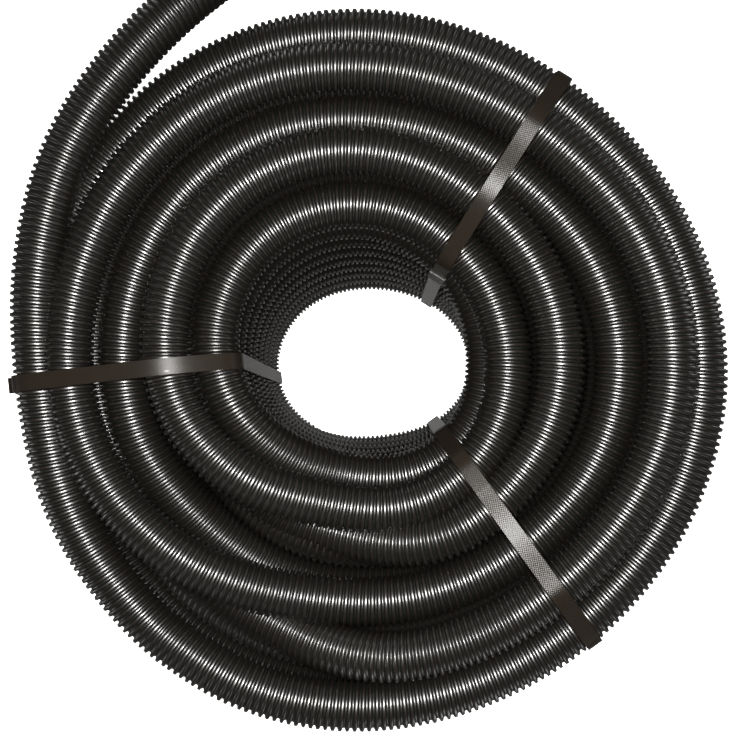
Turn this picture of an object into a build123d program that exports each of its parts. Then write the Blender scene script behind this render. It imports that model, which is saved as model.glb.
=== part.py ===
from build123d import *

import math
import os

# A 50 m roll of corrugated vacuum hose, lying flat on the floor, held by three woven straps.
# Lengths are in mm, +Z is up, and the origin is on the floor at the centre of the roll.

# ---------------------------------------------------------------- hose and roll
HOSE_OD = 38.0
HOSE_ID = 32.0
HOSE_R = HOSE_OD / 2
ROW_PITCH = 38.0
LAYER_RADIUS = (113.0, 150.0, 188.0, 225.0, 252.0)
LAYER_ROWS = (9, 9, 8, 9, 8)
INNER_TOP_DROP = 5.0  # the inner layer is a little lower than its neighbour
CREVICE = 4.0  # how far the groove between two turns stays filled
EYE_CENTRE = (-4.5, 8.0)
LOBE_RISE = 10.0  # how far the roll bulges between two straps
LOBE_ARC_SHIFT = 60.0
BAND_SPLIT = 168.0  # where the inner and the outer band of the roll meet
BAND_OVERLAP = 16.0

# ---------------------------------------------------------------- straps and seals
STRAP_ANGLES = {"a": 55.5, "b": 180.0, "c": 311.0}  # where the straps pull the roll in
# each strap's own run across the roll: its direction, and how far left of the centre it passes
STRAP_LINES = {"a": (57.3, -4.3), "b": (186.5, -19.1), "c": (305.8, 16.3)}
STRAP_WIDTH = 13.0
STRAP_THICK = 0.9
STRAP_GAP = 0.6
LIFT = STRAP_GAP + STRAP_THICK  # the roll stands on its straps
SEAL_LENGTH = 18.0
SEAL_WALL = 0.8
SEAL_CLEAR = 0.05
SEAL_CRIMPS = 4

# ---------------------------------------------------------------- free end of the hose
TAIL_POINTS = [
    (-172.0, -186.0, 304.9),
    (-231.0, -110.0, 310.0),
    (-255.5, -10.0, 323.0),
    (-254.5, 88.0, 327.0),
    (-228.0, 184.0, 327.4),
    (-155.0, 278.0, 324.0),
    (-55.0, 360.0, 298.0),
    (48.0, 426.0, 243.0),
    (150.0, 470.0, 160.0),
    (248.0, 486.0, 76.0),
    (350.0, 482.0, 26.4),
    (440.0, 482.0, 26.4),
]
TAIL_CLEAR = 0.4
TAIL_AT_STRAP = (255.4, 324.6)
FILLET_SHARE = 0.45

# ---------------------------------------------------------------- swivel cuff
SLEEVE_R = 22.6
SLEEVE_COVER = 38.0
SLEEVE_BORE_R = HOSE_R + 0.05
SLEEVE_RINGS = 5
SLEEVE_RING_RISE = 0.9
NECK_BORE_R = 15.9
NECK_R = 19.0
NECK_WALL_END = 3.0
NECK_LIP_START = 20.0
NECK_LIP_END = 24.0
NECK_LIP_R = 21.0
CUFF_START = 4.0
CUFF_HUB_END = 34.0
CUFF_HUB_R = 25.0
CUFF_CAVITY_R = 21.08
CUFF_CAVITY_END = 26.5
CUFF_THROAT_R = 14.6
CUFF_STOP = 38.0
CUFF_MOUTH_R = 16.05
CUFF_MOUTH_OUT_R = 20.2
CUFF_END = 84.0
CUFF_RIM_R = 21.6
CUFF_RIM_LENGTH = 7.0
GRIP_RIBS = 14
GRIP_RISE = 1.1
GRIP_WIDTH = 3.0
RING_START = 6.0
RING_END = 9.0
RING_IN_R = 19.08
RING_OUT_R = 22.7
RING_GAP_DEG = 14.0
ORING_WIRE_R = 1.2

# ---------------------------------------------------------------- fixed cuff
FIXED_R = 21.5
FIXED_LENGTH = 52.0
FIXED_SOCKET = 22.0
FIXED_STOP_WALL = 3.0
FIXED_BORE_R = 16.05
FIXED_CENTRE_R = 109.0
FIXED_ANGLE = 252.0
FIXED_Z = FIXED_R + 0.1
FIXED_CLEAR = 0.35


# ================================================================ helpers
def polar(radius, degrees):
    return (
        radius * math.cos(math.radians(degrees)),
        radius * math.sin(math.radians(degrees)),
    )


def solid_of(shape):
    """The one solid in a shape, or the whole shape where it has several."""
    solids = shape.solids()
    return solids[0] if len(solids) == 1 else Compound(children=list(solids))


def turned(points, axis=Axis.Z):
    """A solid of revolution about Z from (radius, height) points."""
    wire = Polyline(*[(r, 0, z) for r, z in points], close=True)
    return solid_of(revolve(make_face(wire), axis))


# ================================================================ the roll
def row_heights(layer):
    """Centre heights of one layer's turns, lowest first."""
    rows = LAYER_ROWS[layer]
    if rows == max(LAYER_ROWS):
        low = LIFT + HOSE_R
    else:
        low = LIFT + HOSE_R + ROW_PITCH / 2
    pitch = ROW_PITCH
    if layer == 0:
        pitch = ROW_PITCH - INNER_TOP_DROP / (rows - 1)
    return [low + pitch * i for i in range(rows)]


def outline_turns():
    """Centres of the turns on the outside of the roll's section, in order round it."""
    last = len(LAYER_RADIUS) - 1
    top = [(LAYER_RADIUS[i], row_heights(i)[-1]) for i in range(last + 1)]
    outer = [(LAYER_RADIUS[last], z) for z in reversed(row_heights(last)[:-1])]
    low = [(LAYER_RADIUS[i], row_heights(i)[0]) for i in range(last - 1, -1, -1)]
    inner = [(LAYER_RADIUS[0], z) for z in row_heights(0)[1:-1]]
    return top + outer + low + inner


def outward(before, after):
    """Unit vector to the left-hand outside of the way from one turn to another."""
    dr, dz = after[0] - before[0], after[1] - before[1]
    size = math.hypot(dr, dz)
    return (-dz / size, dr / size)


def scalloped_arcs(turns, closed):
    """(crevice, crest, crevice) for each turn, as (radius, height) points."""
    count = len(turns)
    arcs = []
    for i, (r, z) in enumerate(turns):
        before = turns[i - 1] if closed or i else (2 * r - turns[1][0], 2 * z - turns[1][1])
        if closed or i < count - 1:
            after = turns[(i + 1) % count]
        else:
            after = (2 * r - before[0], 2 * z - before[1])
        n = outward(before, after)
        left, right = outward(before, (r, z)), outward((r, z), after)
        arcs.append(
            (
                ((before[0] + r) / 2 + left[0] * CREVICE, (before[1] + z) / 2 + left[1] * CREVICE),
                (r + n[0] * HOSE_R, z + n[1] * HOSE_R),
                ((after[0] + r) / 2 + right[0] * CREVICE, (after[1] + z) / 2 + right[1] * CREVICE),
            )
        )
    return arcs


def band_face(arcs, wall_r, plane_of):
    """A face bounded by scalloped arcs and closed by a straight wall at one radius."""
    edges = []
    for start, crest, end in arcs:
        edges.append(ThreePointArc(plane_of(start), plane_of(crest), plane_of(end)))
    first, last = arcs[0][0], arcs[-1][2]
    corner_first, corner_last = (wall_r, first[1]), (wall_r, last[1])
    edges.append(Line(plane_of(last), plane_of(corner_last)))
    edges.append(Line(plane_of(corner_last), plane_of(corner_first)))
    edges.append(Line(plane_of(corner_first), plane_of(first)))
    return make_face(edges)


def split_arcs():
    """The arcs of the inner band and those of the outer band."""
    arcs = scalloped_arcs(outline_turns(), closed=True)
    inner = [a for a in arcs if a[1][0] < BAND_SPLIT]
    outer = [a for a in arcs if a[1][0] >= BAND_SPLIT]
    # outline order starts at the inner layer's top, so the inner band's arcs wrap round
    tops = [a for a in inner if a[1][1] > 300]
    rest = [a for a in inner if a[1][1] <= 300]
    return rest + tops, outer


def lobe_arcs():
    """Tangent arcs of the roll's outline: (centre, start angle, sweep), outermost layer."""
    r_strap = LAYER_RADIUS[-1]
    shift = LOBE_ARC_SHIFT
    big = r_strap + shift
    r_lobe = r_strap + LOBE_RISE
    angles = sorted(STRAP_ANGLES.values())
    arcs = []
    tangents = []
    lobes = []
    for i, here in enumerate(angles):
        there = angles[(i + 1) % len(angles)] + (360 if i == len(angles) - 1 else 0)
        half = (there - here) / 2
        gap = big - r_lobe
        e = (shift**2 - gap**2) / (2 * gap - 2 * shift * math.cos(math.radians(half)))
        lobe = polar(e, here + half)
        lobes.append(lobe)
        for strap in (here, there):
            far = polar(-shift, strap)
            way = math.degrees(math.atan2(lobe[1] - far[1], lobe[0] - far[0]))
            tangents.append(way)
    for i, here in enumerate(angles):
        before = tangents[2 * i - 1]
        after = tangents[2 * i]
        arcs.append((polar(-shift, here), before, (after - before) % 360))
        arcs.append((lobes[i], after, (tangents[2 * i + 1] - after) % 360))
    return arcs


def outer_band(arcs):
    """The outer band of the roll, bulging between the straps, made sector by sector."""
    shape = None
    r_strap = LAYER_RADIUS[-1]
    big = r_strap + LOBE_ARC_SHIFT
    for i, (centre, start, sweep) in enumerate(lobe_arcs()):
        # the radius of this arc for the outermost layer
        if i % 2 == 0:
            rho = big
        else:
            far = lobe_arcs()[i - 1][0]
            rho = big - math.hypot(centre[0] - far[0], centre[1] - far[1])
        shift = rho - r_strap
        ux, uy = polar(1.0, start)

        def place(point):
            r = point[0] + shift
            return (centre[0] + r * ux, centre[1] + r * uy, point[1])

        face = band_face(arcs, BAND_SPLIT - BAND_OVERLAP, place)
        turn = Axis((centre[0], centre[1], 0), (0, 0, 1))
        sector = revolve(face, turn, revolution_arc=sweep)
        shape = sector if shape is None else shape + sector
    return shape


def inner_band(arcs):
    """The inner band of the roll, round its eye."""

    def place(point):
        return (EYE_CENTRE[0] + point[0], EYE_CENTRE[1], point[1])

    face = band_face(arcs, BAND_SPLIT + BAND_OVERLAP, place)
    return revolve(face, Axis((EYE_CENTRE[0], EYE_CENTRE[1], 0), (0, 0, 1)))


# ================================================================ the free end
def run_lengths(points):
    return [math.dist(a, b) for a, b in zip(points, points[1:])]


def corner_radii(points):
    """Fillet radius for each corner: a share of its shorter run over tan of half its turn."""
    radii = []
    for before, here, after in zip(points, points[1:], points[2:]):
        a = [here[k] - before[k] for k in range(3)]
        b = [after[k] - here[k] for k in range(3)]
        la, lb = math.dist(before, here), math.dist(here, after)
        dot = sum(p * q for p, q in zip(a, b)) / (la * lb)
        turn = math.acos(max(-1.0, min(1.0, dot)))
        radii.append(FILLET_SHARE * min(la, lb) / math.tan(turn / 2))
    return radii


def fillet_route(points):
    """Straight runs joined by tangent arcs through the corners of a route."""
    edges = []
    at = Vector(*points[0])
    for before, here, after, radius in zip(points, points[1:], points[2:], corner_radii(points)):
        corner = Vector(*here)
        back = (Vector(*before) - corner).normalized()
        on = (Vector(*after) - corner).normalized()
        turn = math.pi - back.get_angle(on) * math.pi / 180
        cut = radius * math.tan(turn / 2)
        start, end = corner + back * cut, corner + on * cut
        middle = (back + on).normalized()
        centre = corner + middle * (radius / math.cos(turn / 2))
        mid = centre - middle * radius
        edges.append(Line(at, start))
        edges.append(ThreePointArc(start, mid, end))
        at = end
    edges.append(Line(at, Vector(*points[-1])))
    return edges


def tube(points, outer_r, inner_r=None):
    """A round tube, or a bar, along a filleted route."""
    edges = fillet_route(points)
    path = Wire(edges)
    way = Vector(*points[1]) - Vector(*points[0])
    base = Plane(origin=points[0], z_dir=way)
    section = base * Circle(outer_r)
    if inner_r:
        section = section - base * Circle(inner_r)
    return solid_of(sweep(section, path=path)), sum(e.length for e in edges)


# ================================================================ straps
def eye_reach(name, radius):
    """Least distance, over a strap's width, from its plane's origin to a circle round the eye."""
    angle, left = STRAP_LINES[name]
    ux, uy = polar(1.0, angle)
    along = EYE_CENTRE[0] * ux + EYE_CENTRE[1] * uy
    aside = abs(EYE_CENTRE[1] * ux - EYE_CENTRE[0] * uy - left) + STRAP_WIDTH / 2
    return along + math.sqrt(radius**2 - aside**2)


def strap_centres(name):
    """The turns that one strap bears on, as (radius, height)."""
    centres = []
    wall = LAYER_RADIUS[0] - HOSE_R
    shift = eye_reach(name, wall) - wall
    for r, z in outline_turns():
        centres.append((r + shift if r < BAND_SPLIT else r, z))
    if name == "b":
        centres.append(TAIL_AT_STRAP)
    return centres


def strap_ring(name, grow):
    """The face inside a strap's run round the roll, grown past the turns by some distance."""
    rings = []
    for r, z in strap_centres(name):
        edge = (Pos(r, z) * Circle(HOSE_R + grow)).edges()[0]
        rings.append(edge)
    return make_hull(rings)


def strap_plane(name):
    """Local x runs outward along one strap's own line, and local y is up."""
    angle, left = STRAP_LINES[name]
    ux, uy = polar(1.0, angle)
    return Plane(origin=(-uy * left, ux * left, 0), x_dir=(ux, uy, 0), z_dir=(uy, -ux, 0))


def strap(name):
    """One strap: a closed loop of woven tape round the roll's section."""
    outer = strap_ring(name, STRAP_GAP + STRAP_THICK)
    inner = strap_ring(name, STRAP_GAP)
    face = outer - inner
    loop = extrude(strap_plane(name) * face, amount=STRAP_WIDTH / 2, both=True)
    if name == "b":
        loop = loop + loose_end()
    return solid_of(loop)


def outer_wall_r(name):
    """The radius of a strap's middle on the outside of the roll."""
    reach = max(r for r, z in strap_centres(name) if z < 300)
    return reach + HOSE_R + STRAP_GAP + STRAP_THICK / 2


def inner_wall_r(name):
    """The radius of a strap's middle on the wall of the eye."""
    reach = min(r for r, z in strap_centres(name))
    return reach - HOSE_R - STRAP_GAP - STRAP_THICK / 2


def loose_end():
    """The overlap of strap b inside its seal, and its cut end standing off the roll above it."""
    r = outer_wall_r("b") + STRAP_THICK * 0.95
    z = seal_height("b")
    low, top = z - SEAL_LENGTH / 2 + 2, z + SEAL_LENGTH / 2 + 1
    run = Line((r, low), (r, top))
    bend = ThreePointArc((r, top), (r + 2.4, top + 14), (r + 8.0, top + 26))
    tape = trace([run, bend], line_width=STRAP_THICK)
    return extrude(strap_plane("b") * tape, amount=STRAP_WIDTH / 2 - 0.3, both=True)


def seal_height(name):
    """Seals sit over the groove between two rows of turns, and the one in the eye a row lower."""
    if name == "a":
        rows = row_heights(0)
        return (rows[-2] + rows[-3]) / 2
    rows = row_heights(len(LAYER_ROWS) - 1)
    return (rows[-1] + rows[-2]) / 2


def seal(name):
    """A crimped metal seal round one strap's overlap."""
    wall = inner_wall_r(name) if name == "a" else outer_wall_r(name)
    thick = STRAP_THICK + 2 * SEAL_CLEAR
    wide = STRAP_WIDTH + 2 * SEAL_CLEAR
    lap = STRAP_THICK if name == "b" else 0.0
    outside = Box(thick + lap + 2 * SEAL_WALL, SEAL_LENGTH, wide + 2 * SEAL_WALL)
    inside = Box(thick + lap, SEAL_LENGTH + 2, wide)
    body = outside - inside
    side = -1.0 if name == "a" else 1.0
    face_x = side * (thick + lap + 2 * SEAL_WALL) / 2
    pitch = SEAL_LENGTH / (SEAL_CRIMPS + 1)
    for i in range(SEAL_CRIMPS):
        y = -SEAL_LENGTH / 2 + pitch * (i + 1)
        body = body - Pos(face_x, y, 0) * Rot(0, 0, 45) * Box(0.7, 0.7, STRAP_WIDTH * 0.8)
    move = Pos(wall + side * lap / 2, seal_height(name), 0)
    return solid_of(strap_plane(name) * (move * body))


# ================================================================ swivel cuff
def swivel_place():
    """Frame of the free end: local z runs out of the hose, with its origin on the end."""
    end, before = TAIL_POINTS[-1], TAIL_POINTS[-2]
    way = [end[k] - before[k] for k in range(3)]
    return Plane(origin=end, x_dir=(0, 0, 1), z_dir=way).location


def swivel_sleeve():
    """The sleeve that is screwed and glued on the hose, with the neck that the cuff turns on."""
    pts = [
        (SLEEVE_BORE_R, -SLEEVE_COVER),
        (SLEEVE_R - 1.2, -SLEEVE_COVER),
        (SLEEVE_R, -SLEEVE_COVER + 1.2),
        (SLEEVE_R, NECK_WALL_END),
        (NECK_R, NECK_WALL_END),
        (NECK_R, NECK_LIP_START),
        (NECK_LIP_R, NECK_LIP_START),
        (NECK_LIP_R, NECK_LIP_END - 1.0),
        (NECK_LIP_R - 1.0, NECK_LIP_END),
        (NECK_BORE_R, NECK_LIP_END),
        (NECK_BORE_R, 0.05),
        (SLEEVE_BORE_R, 0.05),
    ]
    body = turned(pts)
    pitch = SLEEVE_COVER / (SLEEVE_RINGS + 1)
    for i in range(SLEEVE_RINGS):
        z = -SLEEVE_COVER + pitch * (i + 1)
        ring = turned(
            [
                (SLEEVE_R - 0.5, z - 2.0),
                (SLEEVE_R, z - 1.8),
                (SLEEVE_R + SLEEVE_RING_RISE, z - 0.9),
                (SLEEVE_R + SLEEVE_RING_RISE, z + 0.9),
                (SLEEVE_R, z + 1.8),
                (SLEEVE_R - 0.5, z + 2.0),
            ]
        )
        body = body + ring
    return solid_of(body)


def swivel_cuff():
    """The cuff that turns on the sleeve's neck and takes a 1 1/4 in fitting."""
    groove = RING_OUT_R + 0.02
    pts = [
        (RING_IN_R + 0.6, CUFF_START),
        (CUFF_HUB_R - 1.5, CUFF_START),
        (CUFF_HUB_R, CUFF_START + 1.5),
        (CUFF_HUB_R, CUFF_HUB_END),
        (CUFF_MOUTH_OUT_R, CUFF_HUB_END + 6.0),
        (CUFF_MOUTH_OUT_R, CUFF_END - CUFF_RIM_LENGTH - 1.4),
        (CUFF_RIM_R, CUFF_END - CUFF_RIM_LENGTH),
        (CUFF_RIM_R, CUFF_END - 1.2),
        (CUFF_RIM_R - 1.2, CUFF_END),
        (CUFF_MOUTH_R, CUFF_END),
        (CUFF_MOUTH_R, CUFF_STOP),
        (CUFF_THROAT_R, CUFF_STOP),
        (CUFF_THROAT_R, CUFF_CAVITY_END),
        (CUFF_CAVITY_R, CUFF_CAVITY_END),
        (CUFF_CAVITY_R, RING_END + 0.02),
        (groove, RING_END + 0.02),
        (groove, RING_START - 0.02),
        (RING_IN_R + 0.6, RING_START - 0.02),
    ]
    body = turned(pts)
    length = CUFF_HUB_END - CUFF_START - 4.0
    rib = Pos(CUFF_HUB_R + GRIP_RISE / 2 - 0.4, 0, CUFF_START + 2.0 + length / 2) * Box(
        GRIP_RISE + 0.8, GRIP_WIDTH, length
    )
    for i in range(GRIP_RIBS):
        body = body + Rot(0, 0, 360.0 / GRIP_RIBS * i) * rib
    return solid_of(body)


def swivel_ring():
    """The split snap ring in the cuff that keeps it on the neck's lip."""
    body = turned(
        [
            (RING_IN_R, RING_START),
            (RING_OUT_R, RING_START),
            (RING_OUT_R, RING_END),
            (RING_IN_R, RING_END),
        ]
    )
    half = math.radians(RING_GAP_DEG / 2)
    gap = Pos(RING_OUT_R, 0, (RING_START + RING_END) / 2) * Box(
        RING_OUT_R, 2 * RING_OUT_R * math.sin(half), RING_END - RING_START + 2
    )
    return solid_of(body - gap)


def swivel_oring():
    """The rubber ring between the neck's end and the cuff's inner shoulder."""
    major = (NECK_BORE_R + NECK_LIP_R) / 2
    height = (NECK_LIP_END + CUFF_CAVITY_END) / 2
    wire = Pos(0, 0, height) * Torus(major, ORING_WIRE_R)
    return solid_of(wire)


# ================================================================ fixed cuff
def fixed_place():
    """Frame of the inner end: local z runs out of the hose, along the wall of the eye."""
    x, y = polar(FIXED_CENTRE_R, FIXED_ANGLE)
    way = polar(1.0, FIXED_ANGLE + 90.0)
    origin = (EYE_CENTRE[0] + x, EYE_CENTRE[1] + y, FIXED_Z)
    return Plane(origin=origin, x_dir=(0, 0, 1), z_dir=(way[0], way[1], 0)).location


def fixed_cuff():
    """The plain cuff glued on the inner end, centred on its own middle."""
    back = -FIXED_LENGTH / 2
    socket_end = back + FIXED_SOCKET
    pts = [
        (SLEEVE_BORE_R, back),
        (FIXED_R - 1.0, back),
        (FIXED_R, back + 1.0),
        (FIXED_R, -back - 1.0),
        (FIXED_R - 1.0, -back),
        (FIXED_BORE_R, -back),
        (FIXED_BORE_R, socket_end + FIXED_STOP_WALL),
        (CUFF_THROAT_R, socket_end + FIXED_STOP_WALL),
        (CUFF_THROAT_R, socket_end),
        (SLEEVE_BORE_R, socket_end),
    ]
    return turned(pts)


def fixed_pocket():
    """The room that the fixed cuff takes in the roll."""
    clear = FIXED_CLEAR
    return Cylinder(FIXED_R + clear, FIXED_LENGTH + 2 * clear)


# ================================================================ the whole
def hose_coil(tail_room):
    """The roll: the outer shape of its 43 turns, open at the eye."""
    inner, outer = split_arcs()
    body = inner_band(inner) + outer_band(outer)
    body = body - tail_room
    body = body - fixed_place() * fixed_pocket()
    return solid_of(body)


def build():
    parts = {}
    tail, length = tube(TAIL_POINTS, HOSE_R, HOSE_ID / 2)
    room, _ = tube(TAIL_POINTS[:7], HOSE_R + TAIL_CLEAR)
    parts["hose_coil"] = hose_coil(room)
    parts["hose_tail"] = tail
    for name in STRAP_ANGLES:
        parts["strap_" + name] = strap(name)
        parts["strap_seal_" + name] = seal(name)
    place = swivel_place()
    parts["swivel_sleeve"] = place * swivel_sleeve()
    parts["swivel_cuff"] = place * swivel_cuff()
    parts["swivel_ring"] = place * swivel_ring()
    parts["swivel_oring"] = place * swivel_oring()
    parts["fixed_cuff"] = fixed_place() * fixed_cuff()
    section = math.pi * (HOSE_R**2 - (HOSE_ID / 2) ** 2)
    share = tail.volume / (section * length)
    print("tail corner radii", [round(r) for r in corner_radii(TAIL_POINTS)])
    print("tail length", round(length, 1), "volume over section times length", round(share, 4))
    return parts


def main():
    os.makedirs("parts", exist_ok=True)
    for name, shape in build().items():
        shape.label = name
        export_step(shape, "parts/" + name + ".step")
        box = shape.bounding_box()
        low = [round(v, 1) for v in (box.min.X, box.min.Y, box.min.Z)]
        high = [round(v, 1) for v in (box.max.X, box.max.Y, box.max.Z)]
        print(name, len(shape.solids()), low, high, round(shape.volume / 1000, 1), "cm3")


main()
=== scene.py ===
"""A 50 m roll of corrugated vacuum hose, tied with three woven straps, seen from above."""

import math

import bpy
import numpy as np
from mathutils import Matrix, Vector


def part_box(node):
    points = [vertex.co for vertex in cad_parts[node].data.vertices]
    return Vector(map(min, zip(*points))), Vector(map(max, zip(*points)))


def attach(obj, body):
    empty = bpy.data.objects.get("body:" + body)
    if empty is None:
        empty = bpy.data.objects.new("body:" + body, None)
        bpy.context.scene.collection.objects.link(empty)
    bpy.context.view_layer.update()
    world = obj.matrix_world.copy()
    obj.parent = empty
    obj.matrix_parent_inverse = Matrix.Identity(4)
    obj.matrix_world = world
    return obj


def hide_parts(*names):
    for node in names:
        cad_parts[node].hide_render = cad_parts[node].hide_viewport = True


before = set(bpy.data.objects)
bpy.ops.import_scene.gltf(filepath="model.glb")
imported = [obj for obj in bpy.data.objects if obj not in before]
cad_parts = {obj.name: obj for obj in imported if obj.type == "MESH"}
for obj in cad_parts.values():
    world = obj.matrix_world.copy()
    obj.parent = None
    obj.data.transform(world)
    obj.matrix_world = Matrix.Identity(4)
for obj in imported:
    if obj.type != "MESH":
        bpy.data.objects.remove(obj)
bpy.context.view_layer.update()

MM = 0.001

# ---------------------------------------------------------------- camera, in metres
CAMERA_AT = (0.0277, -0.0106, 1.0005)
CAMERA_AIM = (-0.0015, 0.0011, 0.3245)
CAMERA_LENS = 43.6
FLASH_AT = (0.028, -0.005, 1.02)

# ---------------------------------------------------------------- the hose, in millimetres
HOSE_R = 19.0
RIB_PITCH = 5.25
RIB_DEPTH = 2.6
RIB_SHARPNESS = 3.5
RIB_CREST = 1.3  # over 1, the crests are wider than the valleys
VALLEY_FROM = 1.3  # the wall this far below the crests has the valleys' finish, with its painted shade
PLAIN_STEP = 9.0  # ring spacing of the turns that are buried and have no ribs
# steps per rib, sides, and whether it is ribbed, from the turns in full view to buried ones
IN_VIEW, BESIDE, BELOW, AT_FLOOR = (12, 40, True), (8, 24, True), (5, 20, True), (5, 16, True)
BURIED = (1, 12, False)

# ---------------------------------------------------------------- the roll, in millimetres
LIFT = 1.5
ROW_PITCH = 38.0
# how far each layer's top has settled: on the mean, with the angle, and the way it leans
DROPS = ((23.5, 10.0, 48.0), (8.5, 8.5, 2.0), (1.0, 1.0, 5.0), (0.0, 0.0, 0.0), (0.0, 0.0, 0.0))
ROWS = (9, 9, 8, 9, 8)
# each layer's mean radius, how far it is shifted and which way, how oval it is and which way,
# and how far it bulges between the straps
LAYERS = (
    (117.0, 13.0, 120.0, 5.5, 120.0, 0.0),
    (153.5, 14.5, 117.0, 3.5, 120.0, 2.0),
    (191.0, 9.0, 120.0, 4.0, 163.0, 3.0),
    (227.5, 8.5, 141.0, 3.1, 170.0, 4.0),
    (256.5, 5.0, 120.0, 4.0, 120.0, 3.0),
)
# the inner layer's shape at the floor, where the eye is a wider and flatter oval
FLOOR_MEAN, FLOOR_SHIFT, FLOOR_LEAN, FLOOR_OVAL = 110.4, 15.0, 127.0, 11.9
FLOOR_SHARE = (1.0, 0.7, 0.4, 0.15, 0.0)
STRAP_ANGLES = (55.5, 180.0, 311.0)
# each strap's run: its direction, how far left of the centre it passes, its lean at the floor,
# and how far it bows up over the third layer
STRAP_LINES = {
    "a": (57.3, -4.3, 4.0, 2.6),
    "b": (186.5, -19.1, 14.0, 0.0),
    "c": (305.8, 16.3, 0.0, 1.4),
}
BOW_FROM, BOW_LENGTH = 122.0, 85.0
STEP_ANGLE = 262.0  # where a turn ends and steps to its next row or layer
STEP_WIDTH = 77.0
POINTS_PER_TURN = 36
CUT_BEFORE = 40.0  # the hose's mesh is cut this many degrees before a step
# the degrees where a shift of a turn starts, how long it grows, where it ends and how long it fades
PUSH_WINDOW = (0.0, 120.0, 210.0, 100.0)
TUCK_WINDOW = (-20.0, 45.0, 60.0, 50.0)
TAIL_WINDOW = (-50.0, 40.0, 50.0, 40.0)
# how far the inner layer's second turn stands into the eye, first and last, and where it changes
PUSH, LAST_PUSH = 13.0, 18.0
PUSH_FROM, PUSH_CHANGE, PUSH_CHANGE_WIDTH = 150.0, 130.0, 80.0
# how far in the second turns of the layers wound downwards lie, under their first turns' starts
TUCK = {1: 12.0, 3: 13.0}
UNDER_TAIL = 9.0  # how far out the outer layer's second turn lies, under the tail
# the last turn's end, in degrees past a whole turn, and how it climbs and swings out before it
LEAVE_END, LEAVE_WIDTH, LEAVE_RISE, LEAVE_OUT = 22.0, 67.0, 12.0, 5.0
# the hose at the inner end's cuff, and its free length from the roll's last turn
INNER_END = [(-45.8, -93.2, 21.6), (-58.0, -89.3, 21.6), (-70.0, -83.5, 21.4)]
COIL_FROM = 222.0
TAIL_POINTS = [
    (-180.0, -193.0, 312.0),
    (-236.0, -112.0, 320.0),
    (-257.0, -10.0, 324.0),
    (-257.0, 88.0, 330.0),
    (-230.0, 184.0, 331.0),
    (-156.0, 279.0, 325.0),
    (-55.0, 360.0, 298.0),
    (48.0, 426.0, 243.0),
    (150.0, 470.0, 160.0),
    (248.0, 486.0, 76.0),
    (350.0, 482.0, 26.4),
    (440.0, 482.0, 26.4),
]

# ---------------------------------------------------------------- straps, in millimetres
STRAP_WIDTH = 13.0
STRAP_THICK = 0.9
STRAP_GAP = 0.9
STRAP_STEP = 2.0
SEAL_LENGTH = 18.0
SEAL_CRIMPS = 4
SEAL_PRESS = 0.45
CRIMP_WIDTH = 0.55
SEAL_WALL, SEAL_ROOM = 0.8, 1.7  # how thick a seal is, and how much wider than the tape
# how high the roll is, and how far the eye and the outside are from its centre, in metres
TOP_HEIGHT, EYE_REACH, OUTER_REACH = 0.345, 0.09, 0.28
# the hose crosses a strap's plane between these distances from the centre, in metres
STRAP_NEAR, STRAP_FAR = 0.0, 0.3
# a tape's top run is above a height and flatter than a share, and its middle lies between two
# distances from the centre, in metres
TOP_FROM, TOP_FLATNESS, MIDDLE = 0.25, 0.8, (0.125, 0.2)
STRAP_ROUNDS, MIDDLE_ROUNDS = 3, 80  # how often a tape's corners are rounded
WARP_PITCH, WEFT_PITCH = 2.0, 1.9

# ---------------------------------------------------------------- floor and light, in metres
FLOOR_HALF = 4.0
FLOOR_SEEN, FLOOR_BOUNCE = 0.9, 0.16  # the floor's white, to the camera and to other light
FLOOR_GLOW = 0.72
HORIZON_LIGHT, OVERHEAD_LIGHT, OVERHEAD_FROM = 0.2, 0.02, 0.75
FLASH_SIZE, FLASH_POWER, FLASH_COLOUR = 0.16, 27.0, (1.0, 0.985, 0.96)
SIDE_COUNT, SIDE_FROM = 4, 20.0
SIDE_REACH, SIDE_HEIGHT, SIDE_AIM = 1.8, 0.4, (0.0, 0.0, 0.15)
SIDE_SIZE, SIDE_POWER = 0.8, 9.0


# ================================================================ camera
def looking(at, aim):
    """The matrix of a camera or lamp that looks from one place to another, +Y up in its view."""
    back = np.array(at, float) - np.array(aim, float)
    back /= np.linalg.norm(back)
    right = np.cross((0.0, 1.0, 0.0), back)
    right /= np.linalg.norm(right)
    matrix = np.eye(4)
    matrix[:3, 0], matrix[:3, 1], matrix[:3, 2] = right, np.cross(back, right), back
    matrix[:3, 3] = at
    return Matrix(matrix.tolist())


def make_camera():
    """The camera, upright in the picture's own plane."""
    data = bpy.data.cameras.new("camera")
    data.lens = CAMERA_LENS
    data.sensor_width = 36.0
    camera = bpy.data.objects.new("camera", data)
    camera.matrix_world = looking(CAMERA_AT, CAMERA_AIM)
    bpy.context.collection.objects.link(camera)
    bpy.context.scene.camera = camera


# ================================================================ the hose's route
def smooth(x):
    """0 below 0, 1 above 1, and an even ramp between."""
    x = min(max(x, 0.0), 1.0)
    return x * x * (3.0 - 2.0 * x)


def window(x, start, growth, end, fade):
    """0, then 1 from start + growth to end, then 0 again, with even ramps."""
    return smooth((x - start) / growth) * (1.0 - smooth((x - end) / fade))


def bulge(angle):
    """-1 at a strap, +1 midway between two straps."""
    for i, here in enumerate(STRAP_ANGLES):
        there = STRAP_ANGLES[(i + 1) % 3]
        gap = (there - here) % 360.0
        along = (angle - here) % 360.0
        if along < gap:
            return -math.cos(2.0 * math.pi * along / gap)
    return -1.0


def top_radius(layer, angle):
    """Radius of one layer's top turn at an angle."""
    mean, shift, way, oval, axis, lobe = LAYERS[layer]
    radius = mean + shift * math.cos(math.radians(angle - way))
    return radius + oval * math.cos(2.0 * math.radians(angle - axis)) + lobe * bulge(angle)


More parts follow.
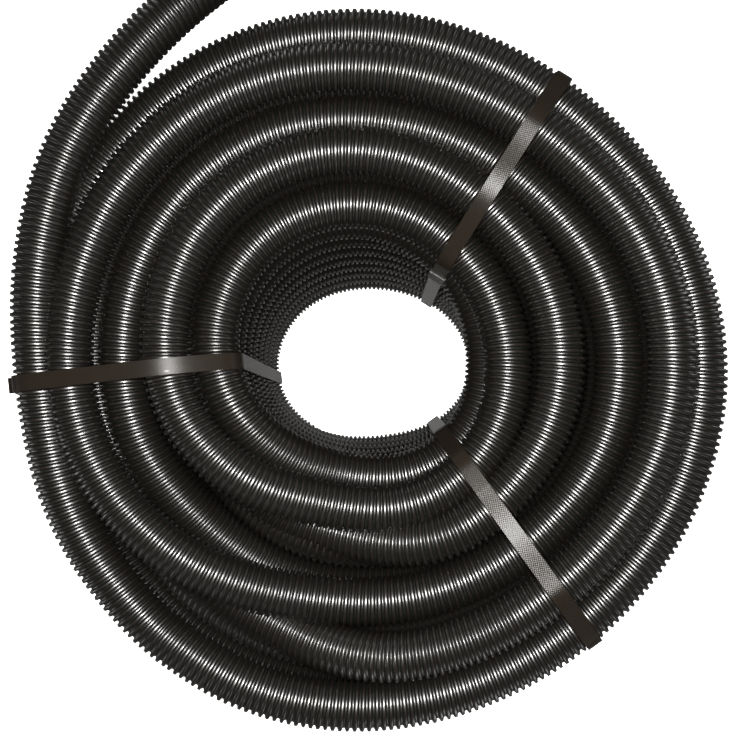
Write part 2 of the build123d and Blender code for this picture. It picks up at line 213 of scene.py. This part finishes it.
def floor_radius(angle):
    """Radius of the inner layer's bottom turn at an angle."""
    shift = FLOOR_SHIFT * math.cos(math.radians(angle - FLOOR_LEAN))
    return FLOOR_MEAN + shift + FLOOR_OVAL * math.cos(math.radians(2.0 * angle))


def turn_radius(layer, row, angle):
    """Radius of a turn: the inner layers lean towards the floor's oval row by row."""
    down = (row - 1) / (ROWS[layer] - 1)
    change = floor_radius(angle) - top_radius(0, angle)
    return top_radius(layer, angle) + FLOOR_SHARE[layer] * down * change


def row_height(layer, row, angle):
    """Height of a turn's centre at an angle. Row 1 is the top one."""
    rows = ROWS[layer]
    low = LIFT + HOSE_R + (0.0 if rows == max(ROWS) else ROW_PITCH / 2)
    mean, tilt, way = DROPS[layer]
    drop = mean + tilt * math.cos(math.radians(angle - way))
    return low + (ROW_PITCH - drop / (rows - 1)) * (rows - row)


def stations():
    """(layer, row) of every turn, in the order of winding: up, down, up, down and up."""
    order = []
    for layer, rows in enumerate(ROWS):
        upward = layer % 2 == 0
        order += [(layer, row) for row in (range(rows, 0, -1) if upward else range(1, rows + 1))]
    return order


def step_of(before, after):
    """Start and end, in degrees past STEP_ANGLE, and inward nudge of the step between turns."""
    if before == (1, 1):
        return -38.0, 22.0, 6.0
    if before == (3, 1):
        return -14.0, 23.0, 0.0
    if before == (2, 2):
        return 0.0, STEP_WIDTH, 6.0
    if before == (4, 2):
        return 57.0, 107.0, 6.0
    if before[0] != after[0]:
        return 0.0, STEP_WIDTH + 10.0, 0.0
    return 0.0, STEP_WIDTH, 0.0


def wound(past, angle, order):
    """Radius and height of the winding, as it steps from turn to turn."""
    radius, height = turn_radius(*order[0], angle), row_height(*order[0], angle)
    for k in range(1, len(order)):
        before, after = order[k - 1], order[k]
        start, end, nudge = step_of(before, after)
        x = (past - 360.0 * k - start) / (end - start)
        if x <= 0.0:
            break
        share = smooth(x)
        rise = row_height(*after, angle) - row_height(*before, angle)
        radius += share * (turn_radius(*after, angle) - turn_radius(*before, angle))
        quick = before[1] == 1 and after[1] == 1
        height += rise * (smooth(2.0 * x) if quick else share)
        if x < 1.0:
            radius -= nudge * math.sin(math.pi * x) ** 2
    return radius, height


def shifted(past, order):
    """How far outward the hose is pushed out of its row, by its neighbours."""

    def into(turn):
        return past - 360.0 * order.index(turn)

    # the inner layer's second turn is pushed into the eye before it climbs to the top
    second = into((0, 2)) - PUSH_FROM
    push = PUSH + (LAST_PUSH - PUSH) * smooth((second - PUSH_CHANGE) / PUSH_CHANGE_WIDTH)
    shift = -push * window(second, *PUSH_WINDOW)
    for down, tuck in TUCK.items():
        shift -= tuck * window(into((down, 2)), *TUCK_WINDOW)
    return shift + UNDER_TAIL * window(into((4, 1)), *TAIL_WINDOW)


def coil_points():
    """Control points of all the turns, from the inner layer's bottom row to the last top one."""
    order = stations()
    first = STEP_ANGLE - COIL_FROM
    last = 360.0 * len(order) + LEAVE_END
    step = 360.0 / POINTS_PER_TURN
    # a spline of order 3 runs a little inside its points
    spread = 1.0 / (0.75 + 0.25 * math.cos(math.radians(step)))
    points = []
    for i in range(int((last - first) / step) + 1):
        past = first + step * i
        angle = STEP_ANGLE - past
        radius, height = wound(past, angle, order)
        # the last turn climbs on top of its layer and swings out as it leaves
        leave = smooth((past - last + LEAVE_WIDTH) / LEAVE_WIDTH)
        height += LEAVE_RISE * leave
        radius += shifted(past, order) + LEAVE_OUT * leave
        x = radius * spread * math.cos(math.radians(angle))
        y = radius * spread * math.sin(math.radians(angle))
        points.append((x, y, height))
    return points


def route_line():
    """The hose's centreline: points read from one smooth spline through the whole route."""
    points = INNER_END + coil_points() + TAIL_POINTS
    data = bpy.data.curves.new("route", "CURVE")
    data.dimensions = "3D"
    data.resolution_u = 6
    spline = data.splines.new("NURBS")
    spline.points.add(len(points) - 1)
    flat = [c for p in points for c in (p[0] * MM, p[1] * MM, p[2] * MM, 1.0)]
    spline.points.foreach_set("co", flat)
    spline.order_u = 3
    spline.use_endpoint_u = True
    curve = bpy.data.objects.new("route", data)
    mesh = bpy.data.meshes.new_from_object(curve)
    line = np.empty(len(mesh.vertices) * 3)
    mesh.vertices.foreach_get("co", line)
    bpy.data.objects.remove(curve)
    bpy.data.curves.remove(data)
    bpy.data.meshes.remove(mesh)
    return line.reshape(-1, 3)


# ================================================================ the hose's surface
def along(line):
    """Length along a line at each of its points."""
    return np.concatenate([[0.0], np.cumsum(np.linalg.norm(np.diff(line, axis=0), axis=1))])


def at_lengths(line, lengths, wanted):
    """Points of a line at the wanted lengths."""
    return np.stack([np.interp(wanted, lengths, line[:, k]) for k in range(3)], axis=1)


def rib_radius(turns):
    """Radius of the corrugated wall, by how many rib pitches along it a point is."""
    valley = 0.5 - 0.5 * np.cos(2.0 * np.pi * turns)
    low, high = valley**RIB_SHARPNESS, (RIB_CREST * (1.0 - valley)) ** RIB_SHARPNESS
    return (HOSE_R - RIB_DEPTH * low / (low + high)) * MM


def tube_grid(line, lengths, start, end, steps, sides, ribbed):
    """Vertices of one stretch of the hose, as rings of points."""
    step = RIB_PITCH * MM / steps if ribbed else PLAIN_STEP * MM
    count = max(2, int(round((end - start) / step)) + 1)
    s = np.linspace(start, end, count)
    centre = at_lengths(line, lengths, s)
    ahead = at_lengths(line, lengths, s + 2.0 * MM) - at_lengths(line, lengths, s - 2.0 * MM)
    ahead /= np.linalg.norm(ahead, axis=1)[:, None]
    side = np.cross((0.0, 0.0, 1.0), ahead)
    side /= np.linalg.norm(side, axis=1)[:, None]
    up = np.cross(ahead, side)
    angle = np.linspace(0.0, 2.0 * np.pi, sides, endpoint=False)
    if ribbed:
        turns = s[:, None] / (RIB_PITCH * MM) + angle[None, :] / (2.0 * np.pi)
        radius = rib_radius(turns)
    else:
        radius = np.full((count, sides), (HOSE_R - 1.0) * MM)
    across = np.cos(angle)[None, :, None] * side[:, None, :]
    across = across + np.sin(angle)[None, :, None] * up[:, None, :]
    return centre[:, None, :] + radius[:, :, None] * across, HOSE_R * MM - radius


def ring_faces(rings, sides, first):
    """Four-cornered faces between the rings of one stretch."""
    i = np.arange(rings - 1)[:, None] * sides
    j = np.arange(sides)[None, :]
    after = (j + 1) % sides
    faces = np.stack([i + j, i + after, i + sides + after, i + sides + j], axis=-1)
    return faces.reshape(-1, 4) + first


def grid_mesh(name, stretches):
    """One mesh from several stretches, whose valleys take the second material."""
    vertices, faces, depths, first = [], [], [], 0
    for grid, depth in stretches:
        rings, sides = grid.shape[:2]
        vertices.append(grid.reshape(-1, 3))
        faces.append(ring_faces(rings, sides, first))
        depths.append(depth.ravel())
        first += rings * sides
    vertices, faces, depths = [np.concatenate(part) for part in (vertices, faces, depths)]
    # the valleys take the second material, whose cooler, darker colour is painted shade
    valley = (depths[faces].mean(axis=1) > VALLEY_FROM * MM).astype(np.int32)
    mesh = bpy.data.meshes.new(name)
    mesh.vertices.add(len(vertices))
    mesh.vertices.foreach_set("co", vertices.ravel())
    mesh.loops.add(faces.size)
    mesh.loops.foreach_set("vertex_index", faces.ravel().astype(np.int32))
    mesh.polygons.add(len(faces))
    mesh.polygons.foreach_set("loop_start", np.arange(0, faces.size, 4, dtype=np.int32))
    mesh.polygons.foreach_set("use_smooth", np.ones(len(faces), dtype=bool))
    mesh.polygons.foreach_set("material_index", valley)
    mesh.update(calc_edges=True)
    return mesh


def detail_of(turn):
    """(steps per rib, sides, ribbed) of a turn: fine where it is seen, plain where buried."""
    order = stations()
    if turn >= len(order) or order[turn][1] == 1:
        return IN_VIEW
    layer, row = order[turn]
    if row == 2 or layer in (0, len(ROWS) - 1):
        return BESIDE
    if row == 3:
        return BELOW
    return AT_FLOOR if row == ROWS[layer] else BURIED


def hose_mesh(line):
    """The corrugated hose, in stretches of a turn each."""
    lengths = along(line)
    past = np.unwrap(-np.degrees(np.arctan2(line[:, 1], line[:, 0])), period=360.0)
    past += (STEP_ANGLE + past[0]) % 360.0 - past[0]
    turns = len(stations())
    # a stretch runs from just before one step to just before the next
    cuts = [0.0]
    for k in range(1, turns + 1):
        cuts.append(lengths[int(np.argmax(past >= 360.0 * k - CUT_BEFORE))])
    cuts.append(lengths[-1])
    ends = enumerate(zip(cuts, cuts[1:]))
    return grid_mesh("hose", [tube_grid(line, lengths, *pair, *detail_of(k)) for k, pair in ends])


def make_hose(line):
    """The whole hose as one mesh, in place of the CAD hose parts."""
    mesh = hose_mesh(line)
    hose = bpy.data.objects.new("hose", mesh)
    bpy.context.collection.objects.link(hose)
    for material in hose_materials():
        mesh.materials.append(material)
    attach(hose, "roll")
    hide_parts("hose_coil", "hose_tail")


# ================================================================ straps
def crossings(line, angle, left):
    """(reach, height), in metres, of every point where the hose crosses a strap's plane."""
    way = np.array([math.cos(math.radians(angle)), math.sin(math.radians(angle))])
    reach = line[:, :2] @ way
    aside = line[:, :2] @ np.array([-way[1], way[0]]) - left * MM
    cuts = np.flatnonzero((aside[:-1] > 0.0) != (aside[1:] > 0.0))
    share = (aside[cuts] / (aside[cuts] - aside[cuts + 1]))[:, None]
    at = line[cuts] + share * (line[cuts + 1] - line[cuts])
    out = at[:, :2] @ way
    return [(r, z) for r, z in zip(out.tolist(), at[:, 2].tolist()) if STRAP_NEAR < r < STRAP_FAR]


def hull(points):
    """Convex hull of (reach, height) points, counter-clockwise."""
    points = sorted(set(points))
    sides = []
    for ordered in (points, points[::-1]):
        side = []
        for p in ordered:
            while len(side) > 1:
                (ax, ay), (bx, by) = side[-2], side[-1]
                if (bx - ax) * (p[1] - ay) - (by - ay) * (p[0] - ax) > 0.0:
                    break
                side.pop()
            side.append(p)
        sides.append(side[:-1])
    return np.array(sides[0] + sides[1])


def spaced(path, step):
    """Points of a path a step apart, in metres, ends kept."""
    lengths = along(path)
    wanted = np.linspace(0.0, lengths[-1], max(2, int(round(lengths[-1] / step)) + 1))
    return np.stack([np.interp(wanted, lengths, path[:, k]) for k in range(2)], axis=1)


def strap_path(line, where):
    """A strap's closed run round the roll's section, as evenly spaced (reach, height) points."""
    angle, left, _, bow = where
    room = (HOSE_R + STRAP_GAP) * MM
    turn = np.linspace(0.0, 2.0 * math.pi, 64, endpoint=False)
    rim = []
    for reach, height in crossings(line, angle, left):
        rim += zip((reach + room * np.cos(turn)).tolist(), (height + room * np.sin(turn)).tolist())
    loop = hull(rim)
    path = spaced(np.concatenate([loop, loop[:1]]), STRAP_STEP * MM)[:-1]
    # the tape is stiff, so it rounds its corners a little, and its bends on top more
    ahead = np.roll(path, -1, axis=0) - np.roll(path, 1, axis=0)
    flat = np.abs(ahead[:, 0]) > TOP_FLATNESS * np.linalg.norm(ahead, axis=1)
    middle = (path[:, 0] > MIDDLE[0]) & (path[:, 0] < MIDDLE[1])
    top = (flat & middle & (path[:, 1] > TOP_FROM)).astype(float)[:, None]
    for k in range(MIDDLE_ROUNDS):
        even = 0.5 * path + 0.25 * (np.roll(path, 1, axis=0) + np.roll(path, -1, axis=0))
        path = path + (even - path) * (1.0 if k < STRAP_ROUNDS else top)
    # over the third layer it bows up, and below the roll it stays on the floor
    share = np.clip((path[:, 0] / MM - BOW_FROM) / BOW_LENGTH, 0.0, 1.0)
    path[:, 1] += np.where(path[:, 1] > TOP_FROM, bow * MM * np.sin(np.pi * share) ** 2, 0.0)
    path[:, 1] = np.maximum(path[:, 1], (STRAP_THICK + 0.05) * MM)
    return path


def strap_section(width, inside, outside):
    """(aside, out) points round a tape's own section, in millimetres."""
    half, soft = width / 2.0, min(0.3, (outside - inside) / 3.0)
    top = [(-half + soft, outside)]
    top += [((k / 4.0 - 1.0) * (half - soft), outside) for k in range(1, 8)]
    top += [(half - soft, outside), (half, outside - soft)]
    return top + [(-x, inside + outside - y) for x, y in top]


def band(name, path, where, section, closed, material):
    """A band along a path of (reach, height) points in one strap's plane."""
    angle, left, lean, _ = where
    ux, uy = math.cos(math.radians(angle)), math.sin(math.radians(angle))
    around = np.concatenate([path[-1:], path, path[:1]]) if closed else path
    ahead = np.gradient(around, axis=0)
    ahead = ahead[1:-1] if closed else ahead
    ahead /= np.linalg.norm(ahead, axis=1)[:, None]
    out = np.stack([ahead[:, 1], -ahead[:, 0]], axis=1)
    # the strap leans aside as it goes down the wall of the eye, and comes back below the roll
    drop = np.clip(1.0 - path[:, 1] / TOP_HEIGHT, 0.0, 1.0)
    back = np.clip((OUTER_REACH - path[:, 0]) / (OUTER_REACH - EYE_REACH), 0.0, 1.0)
    shift = left + lean * drop * back
    rings = []
    for aside, off in section:
        flat = path + out * off * MM
        x = flat[:, 0] * ux - (shift + aside) * MM * uy
        y = flat[:, 0] * uy + (shift + aside) * MM * ux
        rings.append(np.stack([x, y, flat[:, 1]], axis=1))
    grid = np.stack(rings, axis=1)
    count, sides = grid.shape[:2]
    faces = ring_faces(count, sides, 0).tolist()
    last = (count - 1) * sides
    if closed:
        faces += [[last + j, last + (j + 1) % sides, (j + 1) % sides, j] for j in range(sides)]
    else:
        faces += [list(range(sides))[::-1], [last + j for j in range(sides)]]
    mesh = bpy.data.meshes.new(name)
    mesh.from_pydata(grid.reshape(-1, 3).tolist(), [], faces)
    mesh.materials.append(material)
    step = float(np.linalg.norm(path[1] - path[0])) / MM
    lay_tape(mesh, section, sides, count, step)
    piece = bpy.data.objects.new(name, mesh)
    bpy.context.collection.objects.link(piece)
    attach(piece, "roll")
    return piece


def lay_tape(mesh, section, sides, count, step):
    """A UV map in millimetres: across the tape and along it."""
    tape = mesh.uv_layers.new(name="tape")
    for face in mesh.polygons:
        rows = [mesh.loops[i].vertex_index // sides for i in face.loop_indices]
        wraps = max(rows) - min(rows) > 1
        for i in face.loop_indices:
            row, side = divmod(mesh.loops[i].vertex_index, sides)
            v = step * (row + (count if wraps and row == 0 else 0))
            tape.data[i].uv = (section[side][0], v)


def nearest_run(path, point, length):
    """The stretch of a closed path that is centred nearest to a point, with finer steps."""
    middle = int(np.argmin(np.linalg.norm(path - np.array(point), axis=1)))
    half = int(length / 2.0 / STRAP_STEP)
    return spaced(path[np.arange(middle - half, middle + half + 1) % len(path)], 0.25 * MM)


def crimped(piece, run, length):
    """Presses a seal's cross grooves into its outer face."""
    sides = len(piece.data.vertices) // len(run)
    lengths = along(run) / MM
    grooves = [length * (k + 1.0) / (SEAL_CRIMPS + 1.0) for k in range(SEAL_CRIMPS)]
    for i in range(1, len(run) - 1):
        press = max(math.exp(-(((lengths[i] - at) / CRIMP_WIDTH) ** 2)) for at in grooves)
        ahead = run[i + 1] - run[i - 1]
        inward = -np.array([ahead[1], -ahead[0]]) / np.linalg.norm(ahead) * press * SEAL_PRESS * MM
        for j in range(1, sides // 2 - 2):
            vertex = piece.data.vertices[i * sides + j]
            reach = math.hypot(vertex.co.x, vertex.co.y)
            vertex.co.x += inward[0] * vertex.co.x / reach
            vertex.co.y += inward[0] * vertex.co.y / reach
            vertex.co.z += inward[1]


def make_straps(line):
    """The three straps, their crimped seals, and the cut end that stands off the roll."""
    tape, steel = strap_material(), seal_material()
    for name, where in STRAP_LINES.items():
        path = strap_path(line, where)
        section = strap_section(STRAP_WIDTH, 0.0, STRAP_THICK)
        strap = band("tape_" + name, path, where, section, True, tape)
        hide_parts("strap_" + name)
        if name == "b":
            loose = loose_end(path, where, tape)
            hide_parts("strap_b")
        low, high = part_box("strap_seal_" + name)
        middle = [(low[k] + high[k]) / 2.0 for k in range(3)]
        angle = math.radians(where[0])
        at = (middle[0] * math.cos(angle) + middle[1] * math.sin(angle), middle[2])
        run = nearest_run(path, at, SEAL_LENGTH)
        lap = STRAP_THICK if name == "b" else 0.0
        outside = STRAP_THICK + lap + SEAL_WALL
        section = strap_section(STRAP_WIDTH + SEAL_ROOM, -SEAL_WALL, outside)
        seal = band("seal_" + name, run, where, section, False, steel)
        crimped(seal, run, SEAL_LENGTH)
        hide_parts("strap_seal_" + name)


def loose_end(path, where, tape):
    """The tail of strap b: it comes up out of the seal and stands off the hose."""
    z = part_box("strap_seal_b")[0][2]
    reach = float(path[:, 0].max()) + STRAP_THICK * MM
    run = [(reach, z + 2.0 * MM), (reach, z + 19.0 * MM), (reach + 0.8 * MM, z + 26.0 * MM)]
    run += [(reach + 2.6 * MM, z + 33.0 * MM), (reach + 6.5 * MM, z + 41.0 * MM)]
    section = strap_section(STRAP_WIDTH - 0.6, 0.0, STRAP_THICK)
    return band("loose_end", spaced(np.array(run), STRAP_STEP * MM), where, section, False, tape)


# ================================================================ materials
def principled(name, colour, roughness, specular=0.5):
    """A material and its shader node."""
    material = bpy.data.materials.new(name)
    material.use_nodes = True
    shader = material.node_tree.nodes["Principled BSDF"]
    shader.inputs["Base Color"].default_value = (*colour, 1.0)
    shader.inputs["Roughness"].default_value = roughness
    shader.inputs["Specular IOR Level"].default_value = specular
    return material, shader


def hose_materials():
    """Black polyethylene: crests rubbed smooth, and valleys that keep a duller skin; the crests'
    warm brown colour is a painted glow of light, the valleys' cooler, darker one painted shade.
    """
    # painted glow: the crests' warm brown colour stands in for the glow round their highlights
    crest, shader = principled("hose_crest_painted_glow", (0.0029, 0.0022, 0.0017), 0.34, 0.38)
    shader.inputs["Coat Weight"].default_value = 0.1
    shader.inputs["Coat Roughness"].default_value = 0.24
    # painted shade: the valleys' cooler, darker colour is a shaded copy of the same black
    valley, _ = principled("hose_valley_painted_shade", (0.0021, 0.0021, 0.0018), 0.36, 0.34)
    return crest, valley


def noise(nodes, links, where, scale, detail):
    """The strength of a noise texture."""
    texture = nodes.new("ShaderNodeTexNoise")
    texture.inputs["Scale"].default_value = scale
    texture.inputs["Detail"].default_value = detail
    links.new(where, texture.inputs["Vector"])
    return texture.outputs["Fac"]


def mixed(nodes, links, factor, dark, light):
    """A colour between two, by a factor."""
    mix = nodes.new("ShaderNodeMix")
    mix.data_type = "RGBA"
    mix.inputs["A"].default_value = (*dark, 1.0)
    mix.inputs["B"].default_value = (*light, 1.0)
    links.new(factor, mix.inputs["Factor"])
    return mix.outputs["Result"]


def bumped(nodes, links, height, strength, depth):
    """The normal of a surface with a relief on it, whose depth is in metres."""
    bump = nodes.new("ShaderNodeBump")
    bump.inputs["Strength"].default_value = strength
    bump.inputs["Distance"].default_value = depth
    links.new(height, bump.inputs["Height"])
    return bump.outputs["Normal"]


def strap_material():
    """Satin woven polyester: a twill of warp floats."""
    material, shader = principled("strap_tape", (0.003, 0.0024, 0.0018), 0.27, 0.06)
    nodes, links = material.node_tree.nodes, material.node_tree.links
    where = nodes.new("ShaderNodeUVMap")
    where.uv_map = "tape"
    split = nodes.new("ShaderNodeSeparateXYZ")
    links.new(where.outputs["UV"], split.inputs["Vector"])
    across = wave(nodes, links, split.outputs["X"], 1.0 / WARP_PITCH)
    ahead = wave(nodes, links, split.outputs["Y"], 1.0 / WEFT_PITCH)
    weave = math_node(nodes, links, "MULTIPLY", across, ahead)
    height = math_node(nodes, links, "MULTIPLY_ADD", weave, 0.5, 0.5)
    links.new(bumped(nodes, links, height, 0.5, 0.1 * MM), shader.inputs["Normal"])
    worn = noise(nodes, links, where.outputs["UV"], 0.12, 3.0)
    worn_tone_and_weave_shade = math_node(nodes, links, "MULTIPLY_ADD", worn, 0.35, 0.12)
    # painted light: the weave's raised floats are painted lighter and its hollows darker, as
    # painted shade, on top of the patchy worn tone
    worn_tone_and_weave_shade = math_node(nodes, links, "MULTIPLY_ADD", height, 0.4, worn_tone_and_weave_shade)
    colour = mixed(nodes, links, worn_tone_and_weave_shade, (0.0036, 0.0028, 0.0020), (0.0082, 0.0065, 0.0048))
    links.new(colour, shader.inputs["Base Color"])
    return material


def math_node(nodes, links, operation, *values):
    """The output of one Math node on sockets or numbers."""
    node = nodes.new("ShaderNodeMath")
    node.operation = operation
    for i, value in enumerate(values):
        if isinstance(value, float):
            node.inputs[i].default_value = value
        else:
            links.new(value, node.inputs[i])
    return node.outputs["Value"]


def wave(nodes, links, value, per_mm):
    """Sine of a length in millimetres, so many times a millimetre."""
    turned = math_node(nodes, links, "MULTIPLY", value, 2.0 * math.pi * per_mm)
    return math_node(nodes, links, "SINE", turned)


def moulded(name, dark, light, rough, grain, depth):
    """Moulded or pressed stuff: patchy colour and gloss, and a fine grain, in millimetres."""
    material, shader = principled(name, dark, rough[0])
    nodes, links = material.node_tree.nodes, material.node_tree.links
    where = nodes.new("ShaderNodeTexCoord").outputs["Object"]
    patches = noise(nodes, links, where, 60.0, 4.0)
    links.new(mixed(nodes, links, patches, dark, light), shader.inputs["Base Color"])
    gloss = math_node(nodes, links, "MULTIPLY_ADD", patches, rough[1] - rough[0], rough[0])
    links.new(gloss, shader.inputs["Roughness"])
    fine = noise(nodes, links, where, 1.0 / (grain * MM), 2.0)
    links.new(bumped(nodes, links, fine, 0.4, depth * MM), shader.inputs["Normal"])
    return material


def seal_material():
    """Blackened steel."""
    dark, light = (0.008, 0.008, 0.008), (0.022, 0.021, 0.02)
    return moulded("seal_steel", dark, light, (0.34, 0.5), 0.8, 0.05)


def paint(node, material):
    """Gives a CAD node one material all over."""
    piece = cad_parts[node]
    piece.data.materials.clear()
    piece.data.materials.append(material)


def paint_all():
    """The materials of the CAD nodes that show as they are."""
    dark, light = (0.012, 0.012, 0.012), (0.026, 0.026, 0.027)
    cuff = moulded("cuff_plastic", dark, light, (0.32, 0.48), 0.6, 0.06)
    dark, light = (0.5, 0.5, 0.47), (0.62, 0.61, 0.57)
    ring = moulded("ring_plastic", dark, light, (0.36, 0.46), 0.6, 0.05)
    dark, light = (0.01, 0.01, 0.01), (0.02, 0.02, 0.02)
    rubber = moulded("seal_rubber", dark, light, (0.55, 0.7), 0.4, 0.05)
    for node in ("swivel_sleeve", "swivel_cuff", "fixed_cuff"):
        paint(node, cuff)
    paint("swivel_ring", ring)
    paint("swivel_oring", rubber)


# ================================================================ floor and light
def make_floor():
    """The floor, which isn't part of the object."""
    mesh = bpy.data.meshes.new("floor")
    half = FLOOR_HALF
    corners = [(-half, -half, 0), (half, -half, 0), (half, half, 0), (-half, half, 0)]
    mesh.from_pydata(corners, [], [(0, 1, 2, 3)])
    floor = bpy.data.objects.new("floor", mesh)
    mesh.materials.append(floor_material())
    bpy.context.collection.objects.link(floor)


def floor_material():
    """White for whoever looks at it, and dark grey for the light that it throws on the roll."""
    material, shader = principled("floor_white", (0.86, 0.86, 0.86), 0.9, 0.1)
    nodes, links = material.node_tree.nodes, material.node_tree.links
    seen = nodes.new("ShaderNodeLightPath").outputs["Is Camera Ray"]
    colour = mixed(nodes, links, seen, (FLOOR_BOUNCE,) * 3, (FLOOR_SEEN,) * 3)
    links.new(colour, shader.inputs["Base Color"])
    shader.inputs["Emission Color"].default_value = (1.0, 1.0, 1.0, 1.0)
    glow = math_node(nodes, links, "MULTIPLY", seen, FLOOR_GLOW)
    links.new(glow, shader.inputs["Emission Strength"])
    return material


def studio():
    """A white backdrop that lights the scene softly from near the horizon."""
    world = bpy.data.worlds.new("studio")
    world.use_nodes = True
    nodes, links = world.node_tree.nodes, world.node_tree.links
    where = nodes.new("ShaderNodeTexCoord").outputs["Generated"]
    split = nodes.new("ShaderNodeSeparateXYZ")
    links.new(where, split.inputs["Vector"])
    level = nodes.new("ShaderNodeMapRange")
    level.inputs["From Min"].default_value = 0.0
    level.inputs["From Max"].default_value = OVERHEAD_FROM
    level.inputs["To Min"].default_value = HORIZON_LIGHT
    level.inputs["To Max"].default_value = OVERHEAD_LIGHT
    links.new(split.outputs["Z"], level.inputs["Value"])
    seen = nodes.new("ShaderNodeLightPath").outputs["Is Camera Ray"]
    strength = math_node(nodes, links, "MAXIMUM", level.outputs["Result"], seen)
    links.new(strength, nodes["Background"].inputs["Strength"])
    nodes["Background"].inputs["Color"].default_value = (1.0, 1.0, 1.0, 1.0)
    bpy.context.scene.world = world


def area_light(name, at, aim, size, power, colour=(1.0, 1.0, 1.0)):
    """A round lamp that the camera doesn't see."""
    data = bpy.data.lights.new(name, "AREA")
    data.shape = "DISK"
    data.size = size
    data.energy = power
    data.color = colour
    light = bpy.data.objects.new(name, data)
    light.matrix_world = looking(at, aim)
    bpy.context.collection.objects.link(light)
    light.visible_camera = False


def make_light():
    """A flash beside the camera, soft lamps round the roll, and the backdrop."""
    area_light("flash", FLASH_AT, CAMERA_AIM, FLASH_SIZE, FLASH_POWER, FLASH_COLOUR)
    for i in range(SIDE_COUNT):
        way = math.radians(SIDE_FROM + 360.0 / SIDE_COUNT * i)
        at = (SIDE_REACH * math.cos(way), SIDE_REACH * math.sin(way), SIDE_HEIGHT)
        area_light("side_" + str(i + 1), at, SIDE_AIM, SIDE_SIZE, SIDE_POWER)
    studio()
    bpy.context.scene.view_settings.view_transform = "Standard"


make_camera()
hose_line = route_line()
make_hose(hose_line)
make_straps(hose_line)
paint_all()
make_floor()
make_light()
